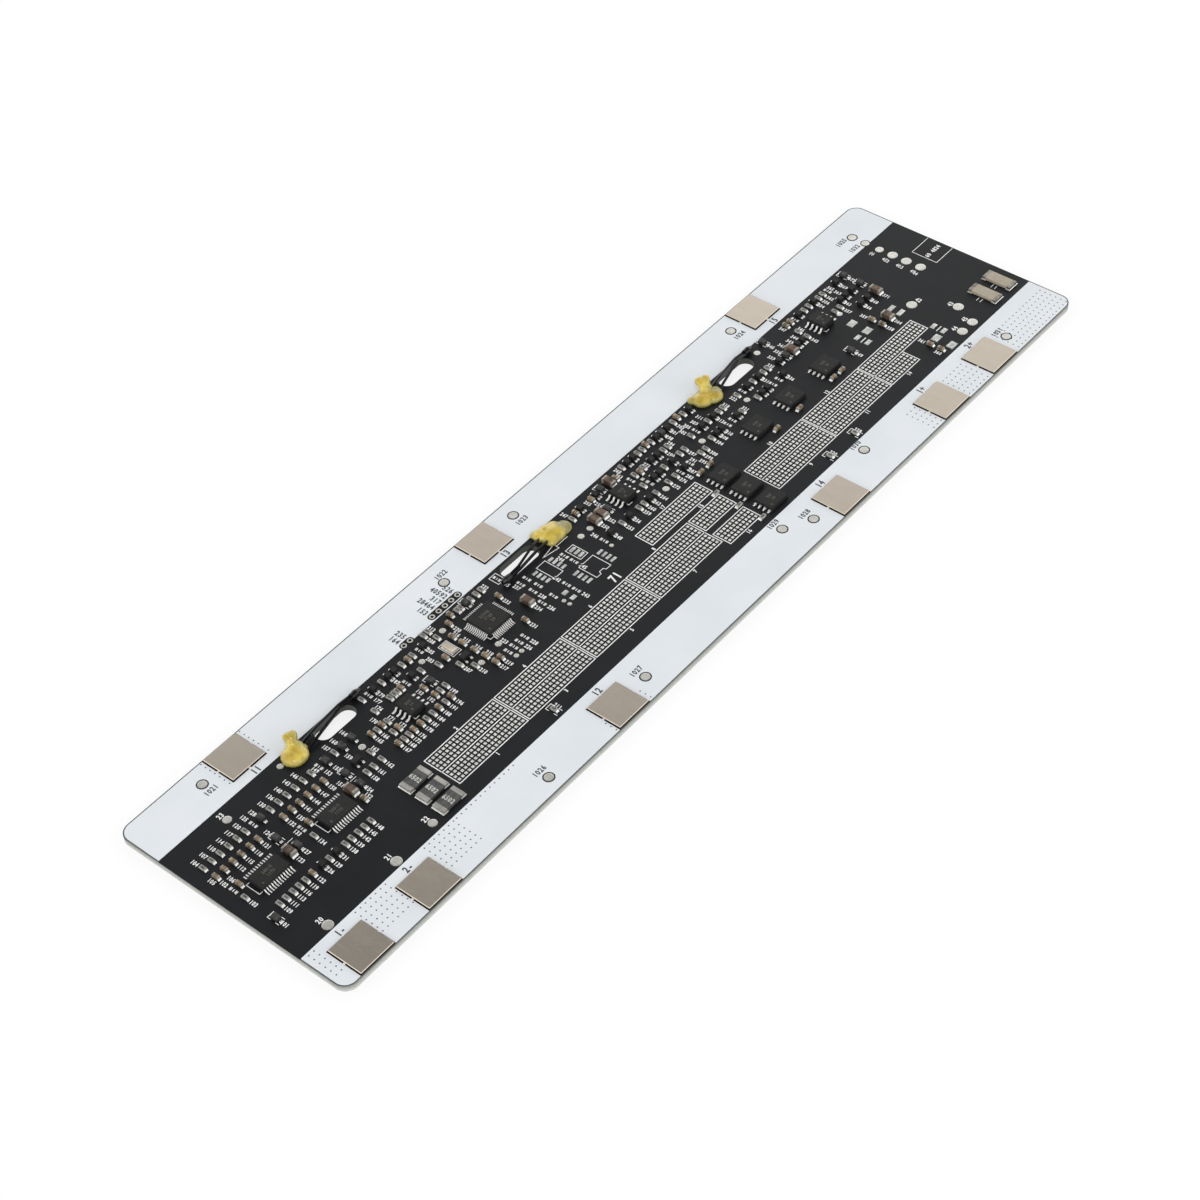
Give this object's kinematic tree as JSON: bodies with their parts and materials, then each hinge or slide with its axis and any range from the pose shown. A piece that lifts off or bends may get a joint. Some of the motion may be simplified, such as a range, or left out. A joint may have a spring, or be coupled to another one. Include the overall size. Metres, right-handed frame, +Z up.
{
  "type": "battery management board",
  "caption": "Long narrow circuit board for a cell pack: weld tabs on white bands, bent-lead chips, dotted solder fields, slots with glued thermistors.",
  "frame": {"origin": "middle of the board's plan, on its underside", "axes": "+X along the board from its negative end, +Y across it from the band with six tabs, +Z up from the underside to the parts"},
  "size_m": [0.248, 0.0636, 0.005],
  "materials": {
    "laminate": "satin solder mask",
    "print": "matt white print",
    "nickel": "satin",
    "tin": "satin solder",
    "moulding": "matt moulded",
    "resistor_coat": "satin",
    "capacitor_ceramic": "matt",
    "fuse_ceramic": "matt",
    "can": "satin",
    "bead": "gloss",
    "lead_sleeve": "satin",
    "adhesive": "satin"
  },
  "bodies": {
    "root": {"board": "laminate", "white_band_near": "print", "white_band_far": "print", "monitor_1_body": "moulding", "monitor_1_leads": "tin", "monitor_2_body": "moulding", "monitor_2_leads": "tin", "controller_body": "moulding", "controller_leads": "tin", "small_chip_bodies": "moulding", "small_chip_leads": "tin", "power_transistor_bodies": "moulding", "power_transistor_leads": "tin", "shunt_bodies": "moulding", "shunt_terminals": "tin", "fuse_bodies": "fuse_ceramic", "fuse_terminals": "tin", "crystal": "can", "resistors": "resistor_coat", "capacitors": "capacitor_ceramic", "large_capacitors": "capacitor_ceramic", "transistor_bodies": "moulding", "transistor_leads": "tin", "diode_bodies": "moulding", "diode_leads": "tin", "tab_negative_1": "nickel", "tab_negative_2": "nickel", "tab_cell_1": "nickel", "tab_cell_2": "nickel", "tab_cell_3": "nickel", "tab_cell_4": "nickel", "tab_cell_5": "nickel", "tab_positive_1": "nickel", "tab_positive_2": "nickel", "thermistor_1_bead": "bead", "thermistor_1_leads": "lead_sleeve", "adhesive_1": "adhesive", "thermistor_2_bead": "bead", "thermistor_2_leads": "lead_sleeve", "adhesive_2": "adhesive", "thermistor_3_bead": "bead", "thermistor_3_leads": "lead_sleeve", "adhesive_3": "adhesive"}
  },
  "joints": []
}
